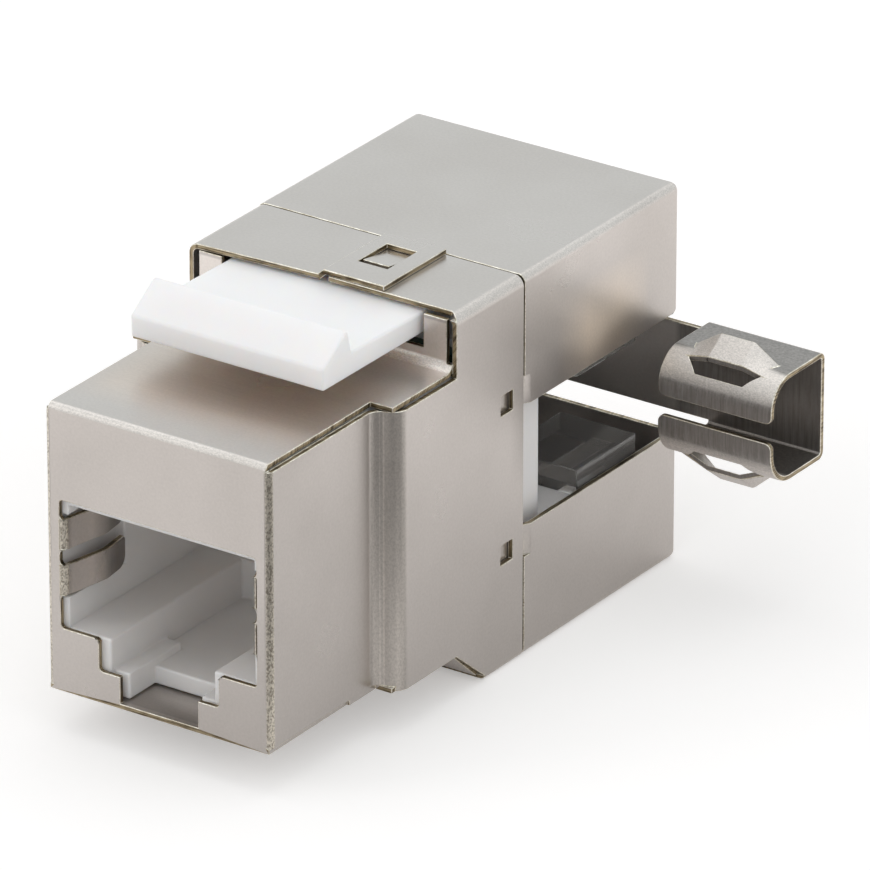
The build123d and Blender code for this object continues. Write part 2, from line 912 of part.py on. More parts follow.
# The upper cover carries the cable clamp: its back wall runs on as an arm
with BuildPart() as upper_rear_cover:
    add(mirror(rear_cover(), about=Plane.XY.offset(middle), mode=Mode.PRIVATE))
    # Rounded lower rear corner on the clamp's side
    with BuildSketch(Plane.YZ):
        corner_z = body_height - cover_height
        with BuildLine():
            Line((body_length, corner_z + cover_corner), (body_length, corner_z))
            Line((body_length, corner_z), (body_length - cover_corner, corner_z))
            RadiusArc(
                (body_length - cover_corner, corner_z),
                (body_length, corner_z + cover_corner),
                -cover_corner,
            )
        make_face()
    extrude(
        amount=body_width,
        mode=Mode.SUBTRACT,
    )
    # Arm in the plane of the back wall
    cut_box(
        (-body_inside, arm_neck),
        (body_length - sheet, body_length),
        (arm_top - fit, body_height - cover_height + fit),
        mode=Mode.ADD,
    )
    cut_box(
        (-body_inside, clamp_start + fit),
        (body_length - sheet, body_length),
        (arm_low, arm_top),
        mode=Mode.ADD,
    )
    # Clamp, an open channel for the cable with its mouth to the front
    with BuildSketch(Plane.YZ.offset(clamp_start)):
        with BuildLine():
            FilletPolyline(
                (clamp_front + mid, clamp_flap),
                (clamp_front + mid, clamp_top - mid),
                (body_length - mid, clamp_top - mid),
                (body_length - mid, clamp_low + mid),
                (clamp_front + mid, clamp_low + mid),
                (clamp_front + mid, clamp_lip),
                radius=[clamp_bend, clamp_small_bend, clamp_small_bend, clamp_lip_bend],
            )
        trace(line_width=sheet)
    extrude(amount=clamp_end - clamp_start)
    # Lanced bridges above and below, for a cable tie
    window = bridge_length / 2 - sheet
    window_front = window - bridge_lead_narrow
    with BuildSketch(Plane.XY.offset(clamp_low - overcut)):
        Polygon(
            (bridge_x - window, bridge_back),
            (bridge_x - window, bridge_front),
            (bridge_x - window_front, bridge_front - bridge_lead),
            (bridge_x + window_front, bridge_front - bridge_lead),
            (bridge_x + window, bridge_front),
            (bridge_x + window, bridge_back),
            align=None,
        )
    extrude(amount=clamp_top - clamp_low + 2 * overcut, mode=Mode.SUBTRACT)
    add(lanced_bridge(bridge_top, clamp_bend, 1, upper_rise_front, upper_rise_back))
    add(lanced_bridge(bridge_bottom, clamp_lip_bend, -1, lower_rise_front, lower_rise_back))
    # Rounded corners on the clamp's flap and lip
    mouth_edges = (
        upper_rear_cover.edges()
        .filter_by(Axis.Y)
        .filter_by_position(Axis.Y, clamp_front, clamp_front + sheet)
        .filter_by_position(Axis.Z, clamp_lip - fit, clamp_flap + fit)
    )
    fillet(mouth_edges, clamp_corner)

write(upper_rear_cover, "upper_rear_cover")


# Wire caps: smoke-clear mouldings in the covers that press the wires onto
# the forks, with a comb in front and a tower each side of the cable's way
def wire_cap():
    """The cap of the lower cover."""
    with BuildPart() as cap:
        cut_box(
            (-body_inside + 2 * fit, body_inside - 2 * fit),
            (cap_front, body_length - sheet - fit),
            (sheet, cap_top),
            mode=Mode.ADD,
        )
        fillet(
            cap.edges().filter_by(Axis.Y).group_by(Axis.Z)[0],
            cover_bend,
        )
        for place in fork_places:
            cut_box(
                (place - wire_groove / 2, place + wire_groove / 2),
                (cap_front - overcut, body_length),
                (cap_floor, cap_top + overcut),
            )
            cut_box(
                (place - fork_width / 2 - 2 * fit, place + fork_width / 2 + 2 * fit),
                (cap_front - overcut, fork_y + fork_thick / 2 + 2 * fit),
                (fork_tip - sheet, cap_top + overcut),
            )
        # Towers over the grooves, one each side of the cable's way
        for side in (-1, 1):
            cut_box(
                sorted((side * tower_inner, side * tower_outer)),
                (tower_front, tower_back),
                (cap_top - fit, tower_top),
                mode=Mode.ADD,
            )
    return cap.part


with BuildPart() as lower_wire_cap:
    add(wire_cap())

write(lower_wire_cap, "lower_wire_cap")

with BuildPart() as upper_wire_cap:
    add(mirror(wire_cap(), about=Plane.XY.offset(middle), mode=Mode.PRIVATE))

write(upper_wire_cap, "upper_wire_cap")
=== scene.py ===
import math

import bmesh
import bpy
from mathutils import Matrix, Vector
from mathutils.bvhtree import BVHTree


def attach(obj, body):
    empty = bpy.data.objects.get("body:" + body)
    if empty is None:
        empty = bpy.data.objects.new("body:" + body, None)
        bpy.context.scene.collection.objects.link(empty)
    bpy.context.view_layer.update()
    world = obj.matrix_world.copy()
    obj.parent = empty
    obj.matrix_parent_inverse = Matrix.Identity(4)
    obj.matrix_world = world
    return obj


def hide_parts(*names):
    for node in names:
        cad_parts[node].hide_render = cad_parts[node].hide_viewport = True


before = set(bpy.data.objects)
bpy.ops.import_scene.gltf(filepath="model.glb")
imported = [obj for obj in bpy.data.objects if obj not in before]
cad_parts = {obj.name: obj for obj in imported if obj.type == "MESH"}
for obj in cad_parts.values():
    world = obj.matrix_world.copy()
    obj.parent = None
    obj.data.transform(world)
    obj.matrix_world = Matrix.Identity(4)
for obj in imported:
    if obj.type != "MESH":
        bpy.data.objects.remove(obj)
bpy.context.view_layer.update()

scene = bpy.context.scene
mm = 0.001


# Camera
# It stands to the front right of the jack and above it, far off behind a long lens,
# so that the edges of the folded shield stay nearly parallel.
bearing = math.radians(34.332)
height = math.radians(25.033)
distance = 561.2 * mm
aim = Vector((4.905, 18.429, 13.221)) * mm
back = Vector((
    math.sin(bearing) * math.cos(height),
    -math.cos(bearing) * math.cos(height),
    math.sin(height),
))
lens = bpy.data.cameras.new("long_lens")
lens.sensor_width = 36
lens.lens = 438.2
lens.clip_start = 0.01
lens.clip_end = 20
camera = bpy.data.objects.new("camera", lens)
camera.location = aim + back * distance
camera.rotation_mode = "QUATERNION"
camera.rotation_quaternion = (-back).to_track_quat("-Z", "Y")
scene.collection.objects.link(camera)
scene.camera = camera
scene.view_settings.view_transform = "Standard"


# Table and studio light
# A pale seamless table under a white tent, with one big soft box overhead and a
# smaller one at the front left. A black card painted on the table, seen only by the metal, gives it
# painted dark reflections.
tent_light = {"Color": (0.98, 0.99, 1, 1), "Strength": 0.76}
tent_shown = {"Color": (1, 1, 1, 1), "Strength": 1.0}
tent_mirrored = {"Color": (0.90, 0.965, 0.985, 1), "Strength": 0.95}
table_radius = 4.0
table_gap = 0.02 * mm
table_colour = (0.86, 0.855, 0.85, 1)
table_glow = (1, 0.985, 0.97, 1)
glow_to_eye = 0.29
jack_middle = (0, 18 * mm, 0)
painted_card_colour = (0.05, 0.045, 0.04, 1)
card_way = (0.72, -0.69, 0)

# A range says from where to where a value runs, and what it becomes at either end
# Near the jack the table glows less to the metal: a painted shadow in the metal's reflections
glow_to_metal = (12 * mm, 60 * mm, 0.09, 0.30)
card_across = (0.55, 0.9, 0.0, 0.8)
card_along = (22 * mm, 38 * mm, 0.0, 1.0)


def add_node(tree, kind, sockets=(), **settings):
    """A node with its settings made and its sockets set or linked, by name or number."""
    made = tree.nodes.new(kind)
    for key, value in settings.items():
        setattr(made, key, value)
    for key, value in dict(sockets).items():
        if isinstance(value, bpy.types.NodeSocket):
            tree.links.new(value, made.inputs[key])
        else:
            made.inputs[key].default_value = value
    return made


def number_of(tree, operation, *values):
    """The result of a Math node."""
    return add_node(tree, "ShaderNodeMath", dict(enumerate(values)), operation=operation).outputs[0]


def product(tree, first, *others):
    """Values multiplied by one another."""
    for other in others:
        first = number_of(tree, "MULTIPLY", first, other)
    return first


def vector_of(tree, operation, *vectors, scale=None):
    """The result of a Vector Math node, which is a number for a length or a dot product."""
    sockets = dict(enumerate(vectors))
    if scale is not None:
        sockets["Scale"] = scale
    made = add_node(tree, "ShaderNodeVectorMath", sockets, operation=operation)
    return made.outputs["Value" if operation in ("LENGTH", "DOT_PRODUCT") else "Vector"]


def ranged(tree, value, low, high, out_low, out_high):
    """The value, mapped from one range to another and held at its ends."""
    return add_node(
        tree, "ShaderNodeMapRange",
        {"Value": value, "From Min": low, "From Max": high, "To Min": out_low, "To Max": out_high},
    ).outputs["Result"]


def blend_colour(tree, factor, first, second):
    """A colour between two, by a factor."""
    return add_node(
        tree, "ShaderNodeMix", {"Factor": factor, "A": first, "B": second}, data_type="RGBA"
    ).outputs["Result"]


def seen_directly(tree, path):
    """One for what the camera sees, straight or through clear plastic, and else none."""
    return number_of(tree, "MAXIMUM", path["Is Camera Ray"], path["Is Transmission Ray"])


tent = bpy.data.worlds.new("tent")
tent.use_nodes = True
tent_tree = tent.node_tree
tent_tree.nodes.clear()
tent_path = add_node(tent_tree, "ShaderNodeLightPath").outputs
lit, shown, mirrored = [
    add_node(tent_tree, "ShaderNodeBackground", look).outputs[0]
    for look in (tent_light, tent_shown, tent_mirrored)
]
tent_mix = add_node(
    tent_tree, "ShaderNodeMixShader", {0: seen_directly(tent_tree, tent_path), 1: lit, 2: shown}
).outputs[0]
tent_mix = add_node(
    tent_tree, "ShaderNodeMixShader", {0: tent_path["Is Glossy Ray"], 1: tent_mix, 2: mirrored}
).outputs[0]
add_node(tent_tree, "ShaderNodeOutputWorld", {"Surface": tent_mix})
scene.world = tent

# The table shows white to the camera. To the metal it shows a painted shadow, darker
# close to the jack, and a painted dark reflection at the front right, the black card.
table_paint = bpy.data.materials.new("table_paint")
table_paint.use_nodes = True
paint_tree = table_paint.node_tree
paint_tree.nodes.clear()
paint_path = add_node(paint_tree, "ShaderNodeLightPath").outputs
spot = add_node(paint_tree, "ShaderNodeTexCoord").outputs["Object"]
off_jack = vector_of(paint_tree, "SUBTRACT", spot, jack_middle)
from_jack = vector_of(paint_tree, "LENGTH", off_jack)
towards_card = vector_of(
    paint_tree, "DOT_PRODUCT", vector_of(paint_tree, "NORMALIZE", off_jack), card_way
)
painted_dark_reflection = product(
    paint_tree,
    ranged(paint_tree, towards_card, *card_across),
    ranged(paint_tree, from_jack, *card_along),
    paint_path["Is Glossy Ray"],
)
table_tone = blend_colour(paint_tree, painted_dark_reflection, table_colour, painted_card_colour)
matt = add_node(paint_tree, "ShaderNodeBsdfDiffuse", {"Color": table_tone, "Roughness": 1.0})
for_metal = product(
    paint_tree,
    ranged(paint_tree, from_jack, *glow_to_metal),
    number_of(paint_tree, "SUBTRACT", paint_path["Is Glossy Ray"], painted_dark_reflection),
)
for_eye = product(paint_tree, glow_to_eye, seen_directly(paint_tree, paint_path))
glow = add_node(
    paint_tree, "ShaderNodeEmission",
    {"Color": table_glow, "Strength": number_of(paint_tree, "ADD", for_metal, for_eye)},
)
painted = add_node(paint_tree, "ShaderNodeAddShader", {0: matt.outputs[0], 1: glow.outputs[0]})
add_node(paint_tree, "ShaderNodeOutputMaterial", {"Surface": painted.outputs[0]})

table_mesh = bpy.data.meshes.new("table")
disc = bmesh.new()
bmesh.ops.create_circle(disc, cap_ends=True, radius=table_radius, segments=96)
bmesh.ops.translate(disc, verts=disc.verts, vec=(0, 0, -table_gap))
disc.to_mesh(table_mesh)
disc.free()
table_mesh.materials.append(table_paint)
table = bpy.data.objects.new("table", table_mesh)
scene.collection.objects.link(table)


def soft_box(name, place, size, watts, colour):
    """A square soft box that looks at the middle of the jack."""
    light = bpy.data.lights.new(name, "AREA")
    light.size = size
    light.energy = watts
    light.color = colour
    box = bpy.data.objects.new(name, light)
    box.location = place
    box.rotation_mode = "QUATERNION"
    box.rotation_quaternion = (aim - Vector(place)).to_track_quat("-Z", "Y")
    scene.collection.objects.link(box)


soft_box("overhead", (-0.25, 0.25, 1.3), size=1.35, watts=4.4, colour=(1.0, 1.0, 1.0))
soft_box("front_left", (-1.0, -1.0, 0.9), size=0.6, watts=1.9, colour=(1.0, 0.97, 0.94))


# Front shield
# One blank of copper alloy sheet, plated with satin nickel after it was cut, folded
# round the nose and the hood. The bends are crackled, with painted shade on the upright
# ones and painted light on the level ones, and the sheared edges look golden, their
# rolled rims with a painted highlight.
sheet_thickness = 0.3 * mm
sheet_edge = 0.045 * mm
plate_colour = (0.615, 0.567, 0.533, 1)
plate_worn = (0.535, 0.492, 0.46, 1)
plate_roughness = (0.26, 0.36)
# The crackle on the upright bends is partly real and partly painted shade, heaviest beside the face
crackle_colour = (0.80, 0.735, 0.63, 1)
crackle_dark = (0.30, 0.26, 0.20, 1)
crackle_and_shade_from_face = (1 * mm, 3 * mm, 0.85, 0.18)
edge_colour = (0.42, 0.34, 0.22, 1)
edge_dark = (0.08, 0.058, 0.036, 1)
# The rolled rims are painted far lighter than the plate: a painted highlight on the rounded edges
rim_painted_highlight = (0.90, 0.85, 0.76, 1)
rim_dark = (0.52, 0.45, 0.34, 1)

# Places on the sheet, in millimetres: a box's low corner, its high corner, its border
fingers_box = ((-6.7, 0.6, 3), (6.7, 8, 15.3), 0.3)
latch_walls_box = ((-8.25, 9, 16), (8.25, 17, 21.7), 0.1)
shelf_box = ((-5.5, 4, 15.5), (5.5, 10, 17.5), 2.5)
nose_floor_box = ((-3.2, 0.4, 0.5), (3.2, 8, 3.5), 0.1)
painted_highlight_box = ((8, 27.5, 15.5), (8.8, 30.5, 17), 3)
painted_shade_box = ((8, 22.5, 12.5), (8.8, 25, 14.8), 2.4)
clamp_box = ((9, 20, 0), (30, 50, 30), 0.4)

# How the sheet looks there, next to the plain plate; most of it is painted light and shade. The walls'
# painted light grows towards the back.
latch_walls_painted_light = (9 * mm, 14 * mm, 1.0, 1.4)
shelf_painted_light = (1.3, 1.12, 0.96, 1)
nose_floor_painted_shade = 0.76
painted_highlight_tint = (1.42, 1.33, 1.2, 1)
painted_shade_tint = (0.66, 0.65, 0.65, 1)
clamp_tones = (0.38, 0.62)
clamp_roughness = 0.08
bend_roughness = 0.14

# Painted light on the jog in the sides, from its front to its back: where the middle of
# each mark lies, half its width, and its tone. A hollow of painted shade lies by each bend,
# with two narrow painted highlights and a broad painted sheen between, and the rest of the
# jog is painted a little darker. The jog slants, so a place on it is y plus the lean times
# the distance aside. The fingers' tones, painted sheen and then painted shade towards the
# socket's depth, run from their fold to their tips.
jog_lean = 1.467
jog_span = (19.26 * mm, 23.41 * mm)
jog_painted_shade = 0.9
jog_painted_marks = (
    (0.09, 0.07, 0.68), (0.30, 0.02, 1.14), (0.39, 0.03, 1.2), (0.70, 0.08, 1.03), (0.89, 0.08, 0.74),
)
finger_reach = 4 * mm
finger_painted_light = ((0.0, 1.25), (0.5, 1.6), (0.7, 1.1), (0.85, 0.65), (1.0, 0.5))


def material(name):
    """A new node material, its tree, and its shader, whose other sockets are then set."""
    made = bpy.data.materials.new(name)
    made.use_nodes = True
    return made, made.node_tree, made.node_tree.nodes["Principled BSDF"]


def place_of(tree):
    """The place on the piece, in metres in the jack's own frame."""
    return add_node(tree, "ShaderNodeTexCoord").outputs["Object"]


def parts_of(tree, vector):
    """A vector's x, y and z."""
    return add_node(tree, "ShaderNodeSeparateXYZ", {"Vector": vector}).outputs


def rest_of(tree, share):
    """What a share leaves of one."""
    return number_of(tree, "SUBTRACT", 1.0, share)


def grain(tree, scale, detail=2.0, stretch=(1, 1, 1), roughness=0.5, place=None):
    """Noise of a given scale per metre, drawn out along an axis where stretch is under 1."""
    mapped = add_node(
        tree, "ShaderNodeMapping", {"Vector": place or place_of(tree), "Scale": stretch}
    )
    return add_node(
        tree, "ShaderNodeTexNoise",
        {"Vector": mapped.outputs[0], "Scale": scale, "Detail": detail, "Roughness": roughness},
    ).outputs["Fac"]


def within(tree, low, high, border):
    """One inside a box given in millimetres, none outside, with a soft border."""
    shares = []
    for value, first, last in zip(parts_of(tree, place_of(tree)), low, high):
        shares.append(ranged(tree, value, (first - border) * mm, first * mm, 0.0, 1.0))
        shares.append(ranged(tree, value, last * mm, (last + border) * mm, 1.0, 0.0))
    return product(tree, *shares)


def shaded(tree, colour, share, tone):
    """A colour multiplied by a tone, where share is one."""
    return blend_colour(tree, share, colour, vector_of(tree, "SCALE", colour, scale=tone))


def tinted(tree, colour, share, tint):
    """A colour multiplied by a tint, where share is one."""
    return add_node(
        tree, "ShaderNodeMix", {"Factor": share, "A": colour, "B": tint},
        data_type="RGBA", blend_type="MULTIPLY",
    ).outputs["Result"]


def toned_along(tree, value, tones):
    """A grey that goes from one tone to the next along a value, from 0 to 1."""
    made = add_node(tree, "ShaderNodeValToRGB", {"Fac": value})
    stops = made.color_ramp.elements
    for place, _ in tones[1:-1]:
        stops.new(place)
    for stop, (place, tone) in zip(stops, tones):
        stop.position = place
        stop.color = (tone, tone, tone, 1)
    return made.outputs["Color"]


def bumped(tree, shader, strength, distance, height, below=None):
    """A bump on the shader, over another one where there is one below."""
    sockets = {"Strength": strength, "Distance": distance, "Height": height}
    if below:
        sockets["Normal"] = below
    bump = add_node(tree, "ShaderNodeBump", sockets).outputs[0]
    tree.links.new(bump, shader.inputs["Normal"])
    return bump


def crackle_of(tree, upright):
    """The crackle that stretching leaves on plate, drawn out along a bend that runs level or upright.
    """
    along_level = grain(tree, 15000, 2.0, (0.6, 1, 1), 0.6)
    along_upright = grain(tree, 11000, 2.0, (1, 1, 0.6), 0.6)
    return add_node(
        tree, "ShaderNodeMix", {"Factor": upright, "A": along_level, "B": along_upright},
        data_type="FLOAT",
    ).outputs["Result"]


def jog_and_finger_painted_light(tree, plate, upright_bend, fingers):
    """The plate with painted shade and highlights on the jog, and painted sheen and shade in bands
    along the fingers.
    """
    along_x, along_y, _ = parts_of(tree, place_of(tree))
    sideways = number_of(tree, "ABSOLUTE", along_x)
    jog_run = number_of(tree, "ADD", along_y, product(tree, sideways, jog_lean))
    tones = [(0.0, 1.0)]
    for middle, half_width, tone in jog_painted_marks:
        tones += [(middle - half_width, jog_painted_shade), (middle, tone), (middle + half_width, jog_painted_shade)]
    tones.append((1.0, 1.0))
    jog = toned_along(tree, ranged(tree, jog_run, *jog_span, 0.0, 1.0), tones)
    bands = toned_along(tree, ranged(tree, along_y, 0, finger_reach, 0.0, 1.0), finger_painted_light)
    return shaded(tree, shaded(tree, plate, upright_bend, jog), fingers, bands)


def painted_light_in_places(tree, plate, level):
    """The plate with the tones and tints of the places named above: painted light, shade and
    reflections, and the shelf's brushed grain.
    """
    # The walls beside the latch get painted light, brighter towards the back
    along_y = parts_of(tree, place_of(tree))[1]
    painted_wall_light = ranged(tree, along_y, *latch_walls_painted_light)
    plate = shaded(tree, plate, within(tree, *latch_walls_box), painted_wall_light)

    # The shelf under the latch is brushed from side to side, and painted lighter and warmer: painted
    # light and a warm painted reflection of the latch
    shelf = product(tree, within(tree, *shelf_box), ranged(tree, level, 0.7, 0.95, 0.0, 1.0))
    brushed = ranged(tree, grain(tree, 3500, 3.0, (0.08, 1, 1)), 0.3, 0.7, 0.94, 1.06)
    plate = tinted(tree, shaded(tree, plate, shelf, brushed), shelf, shelf_painted_light)

    # The floor of the nose, in the notch under the socket, is darkened: painted shade
    plate = shaded(tree, plate, within(tree, *nose_floor_box), nose_floor_painted_shade)

    # The upper cover's side gets a warm painted highlight in one place and painted shade in another
    plate = tinted(tree, plate, within(tree, *painted_highlight_box), painted_highlight_tint)
    return tinted(tree, plate, within(tree, *painted_shade_box), painted_shade_tint)


def folded_metal(name):
    """Satin nickel plate: a fine even grain, soft clouds, a crackle on the bends, and painted light
    and shade.
    """
    made, tree, shader = material(name)
    shader.inputs["Metallic"].default_value = 0.9
    clouds = grain(tree, 130, 3.0)
    cloudy = ranged(tree, clouds, 0.35, 0.65, 0.0, 0.5)
    fine = ranged(tree, grain(tree, 6500), 0.3, 0.7, 0.0, 0.5)
    plate = blend_colour(tree, number_of(tree, "ADD", cloudy, fine), plate_colour, plate_worn)

    # A face of the sheet lies square to an axis, and a bend doesn't
    normal = add_node(tree, "ShaderNodeTexCoord").outputs["Normal"]
    aside, ahead, level = [number_of(tree, "ABSOLUTE", part) for part in parts_of(tree, normal)]
    squarest = number_of(tree, "MAXIMUM", number_of(tree, "MAXIMUM", aside, ahead), level)
    bent = ranged(tree, squarest, 0.998, 0.95, 0.0, 1.0)
    upright = ranged(tree, level, 0.02, 0.2, 1.0, 0.0)
    upright_bend = product(tree, bent, upright)
    level_bend = number_of(tree, "SUBTRACT", bent, upright_bend)

    # The upright bends get the crackle with painted shade, heaviest beside the face
    crackle = crackle_of(tree, upright)
    fingers = within(tree, *fingers_box)
    along_y = parts_of(tree, place_of(tree))[1]
    from_face = ranged(tree, along_y, *crackle_and_shade_from_face)
    crackle_and_painted_shade = product(tree, upright_bend, from_face, rest_of(tree, fingers))
    crackled = ranged(tree, crackle, 0.38, 0.57, 0.0, 1.0)
    crackled = blend_colour(tree, crackled, crackle_dark, crackle_colour)
    plate = blend_colour(tree, crackle_and_painted_shade, plate, crackled)
    # The level bends are lightened by up to a third in the crackle's light spots: a painted highlight
    plate = shaded(tree, plate, level_bend, ranged(tree, crackle, 0.35, 0.65, 1.0, 1.3))
    plate = jog_and_finger_painted_light(tree, plate, upright_bend, fingers)
    plate = painted_light_in_places(tree, plate, level)

    # The arm and the clamp are rougher, and darker and streaked up and down except on the crowns of
    # bends that face up
    clamp = within(tree, *clamp_box)
    crown = ranged(tree, product(tree, bent, level), 0.1, 0.5, 0.0, 1.0)
    streaks = ranged(tree, grain(tree, 6000, 4.0, (1, 1, 0.06), 0.65), 0.3, 0.7, *clamp_tones)
    plate = shaded(tree, plate, product(tree, clamp, rest_of(tree, crown)), streaks)
    tree.links.new(plate, shader.inputs["Base Color"])

    pitted = product(tree, number_of(tree, "SUBTRACT", crackle, 0.5), bent)
    deep = bumped(tree, shader, 0.3, 0.03 * mm, pitted)
    bumped(tree, shader, 0.17, 0.02 * mm, grain(tree, 9000), deep)
    rough = ranged(tree, clouds, 0.3, 0.7, *plate_roughness)
    rough = number_of(tree, "ADD", rough, product(tree, clamp, clamp_roughness))
    rough = number_of(tree, "ADD", rough, product(tree, level_bend, bend_roughness))
    tree.links.new(rough, shader.inputs["Roughness"])
    return made


def sheared_metal(name, light, dark, roughness):
    """A cut edge: golden alloy that the plating covers in part, torn along its run."""
    made, tree, shader = material(name)
    shader.inputs["Metallic"].default_value = 1.0
    shader.inputs["Roughness"].default_value = roughness

    # A twentieth of the way along the run is kept, so the grain is that much longer
    run = add_node(tree, "ShaderNodeAttribute", attribute_name="run").outputs["Vector"]
    place = place_of(tree)
    along = vector_of(tree, "DOT_PRODUCT", place, run)
    taken = vector_of(tree, "SCALE", run, scale=product(tree, along, -0.95))
    drawn_out = vector_of(tree, "ADD", place, taken)
    torn = grain(tree, 9000, 3.0, roughness=0.6, place=drawn_out)
    patchy = grain(tree, 1500)
    depth = number_of(tree, "ADD", product(tree, torn, 0.75), product(tree, patchy, 0.25))
    depth = ranged(tree, depth, 0.42, 0.6, 0.0, 1.0)
    tree.links.new(blend_colour(tree, depth, light, dark), shader.inputs["Base Color"])
    bumped(tree, shader, 0.5, 0.03 * mm, torn)
    return made


def turned(first, second, degrees):
    """A way between two that are square to each other."""
    angle = math.radians(degrees)
    return first * math.cos(angle) + second * math.sin(angle)


def width_at(skin, start, way, limit):
    """How wide the metal is at a point under its skin, along a way; the limit if wider."""
    ahead = skin.ray_cast(start, way, limit)[3]
    behind = skin.ray_cast(start, -way, limit)[3]
    if ahead is None or behind is None:
        return limit
    return ahead + behind


def thinnest(skin, start, first, second, angles, limit):
    """The metal's least width under a point, and which of some angles from first gives it."""
    return min(
        (width_at(skin, start, turned(first, second, angle), limit), angle) for angle in angles
    )


def mark_cut_edges(work, thickness):
    """Gives the sheet's cut faces the second finish, and notes which way each one runs.

    Just under a cut face the metal ends one thickness away across it, and goes deeper.
    The way across is sought in coarse steps, and then in single degrees.
    """
    skin = BVHTree.FromBMesh(work)
    run = work.faces.layers.float_vector.new("run")
    limit = 1.12 * thickness
    coarse = 6
    for face in work.faces:
        start = face.calc_center_median() - face.normal * thickness / 6
        below = skin.ray_cast(start, -face.normal, thickness)[3]
        if below is not None:
            continue
        first = face.normal.orthogonal().normalized()
        second = face.normal.cross(first)
        across, angle = thinnest(skin, start, first, second, range(0, 180, coarse), limit)
        if across >= limit:
            continue
        near = range(angle - coarse, angle + coarse + 1)
        across, angle = thinnest(skin, start, first, second, near, limit)
        face.material_index = 1
        face[run] = face.normal.cross(turned(first, second, angle))


def eased_copy(name, node, edge, finishes, steps=2, thickness=None):
    """A CAD node's own shape with its sharp edges rounded to edge metres.

    Folded sheet of a given thickness takes three finishes: its plate, its cut edges,
    and the rolled rims beside them.
    """
    work = bmesh.new()
    work.from_mesh(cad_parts[node].data)
    bmesh.ops.remove_doubles(work, verts=work.verts, dist=0.0005 * mm)
    for face in work.faces:
        face.material_index = 0
        face.smooth = True
    if thickness:
        mark_cut_edges(work, thickness)
    skin = BVHTree.FromBMesh(work)
    bmesh.ops.dissolve_limit(
        work, angle_limit=math.radians(0.3), verts=work.verts, edges=work.edges, delimit={"MATERIAL"}
    )
    bmesh.ops.connect_verts_concave(work, faces=work.faces)
    mesh = bpy.data.meshes.new(name)
    work.to_mesh(mesh)
    work.free()
    for finish in finishes:
        mesh.materials.append(finish)
    rough = bpy.data.objects.new(name, mesh)
    scene.collection.objects.link(rough)
    easing = rough.modifiers.new("easing", "BEVEL")
    easing.width = edge
    easing.segments = steps
    easing.limit_method = "ANGLE"
    easing.angle_limit = math.radians(30)
    easing.use_clamp_overlap = False
    if thickness:
        easing.material = 2
    eased = baked(rough)
    # A corner that the easing throws outside the shape is set back on it
    for vertex in eased.vertices:
        nearest, _, _, away = skin.find_nearest(vertex.co)
        if away > 0.8 * edge:
            vertex.co = nearest
    shade_flat_by_flat(eased)
    return rough


def baked(rough):
    """The mesh that the piece's modifiers give, which takes their place."""
    depsgraph = bpy.context.evaluated_depsgraph_get()
    depsgraph.update()
    made = bpy.data.meshes.new_from_object(rough.evaluated_get(depsgraph), depsgraph=depsgraph)
    rough.modifiers.clear()
    rough.data = made
    made.name = rough.name
    return made


def shade_flat_by_flat(mesh):
    """Smooth shading in which the widest flat at a point counts most, so flats stay flat."""
    work = bmesh.new()
    work.from_mesh(mesh)
    flats = {}
    for patch in smooth_patches(work, math.radians(0.4)):
        area = sum(face.calc_area() for face in patch)
        for face in patch:
            flats[face.index] = (patch[0].index, area)
    normals = []
    for vertex in work.verts:
        seen = {}
        for face in vertex.link_faces:
            first, area = flats[face.index]
            seen[first] = face.normal * area
        normals.append(sum(seen.values(), Vector()).normalized())
    work.free()
    mesh.normals_split_custom_set_from_vertices(normals)


def smooth_patches(work, turn):
    """The faces in patches that no edge sharper than turn crosses."""
    left = set(work.faces)
    while left:
        patch = []
        front = [left.pop()]
        while front:
            face = front.pop()
            patch.append(face)
            for edge in face.edges:
                if len(edge.link_faces) == 2 and edge.calc_face_angle() < turn:
                    for other in edge.link_faces:
                        if other in left:
                            left.remove(other)
                            front.append(other)
        yield patch


def in_place_of(piece, nodes, body):
    """The piece stands for its CAD nodes, which are hidden, on their body."""
    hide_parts(*nodes)
    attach(piece, body)


nickel = folded_metal("satin_nickel")
sheared = sheared_metal("sheared_edge", edge_colour, edge_dark, roughness=0.42)
rolled = sheared_metal("rolled_rim", rim_painted_highlight, rim_dark, roughness=0.3)
plated = (nickel, sheared, rolled)
shield = eased_copy("folded_shield", "front_shield", sheet_edge, plated, thickness=sheet_thickness)
in_place_of(shield, ["front_shield"], "housing")


# Socket insert
# A milky white moulding in the nose of the shield: the plug's cavity with its ledges,
# its channel and the rib in front. Light sinks a little way into it.
insert_colour = (0.86, 0.84, 0.825, 1)
insert_shade = (0.83, 0.805, 0.79, 1)
insert_edge = 0.14 * mm


def varied_gloss(tree, shader, scale, smooth, rough):
    """Sets the shader's roughness, which wanders between two values."""
    gloss = ranged(tree, grain(tree, scale), 0.3, 0.7, smooth, rough)
    tree.links.new(gloss, shader.inputs["Roughness"])


def moulded(name, colour, shade, roughness, depth, share=0.35):
    """Moulded plastic with faint flow marks and a soft, slightly see-through skin."""
    made, tree, shader = material(name)
    flow = ranged(tree, grain(tree, 220), 0.3, 0.7, 0.0, 1.0)
    tree.links.new(blend_colour(tree, flow, colour, shade), shader.inputs["Base Color"])
    varied_gloss(tree, shader, 900, roughness - 0.04, roughness + 0.06)
    shader.inputs["Subsurface Weight"].default_value = share
    shader.inputs["Subsurface Radius"].default_value = (1.0, 0.85, 0.72)
    shader.inputs["Subsurface Scale"].default_value = depth
    bumped(tree, shader, 0.12, 0.02 * mm, grain(tree, 5000, 3.0))
    return made


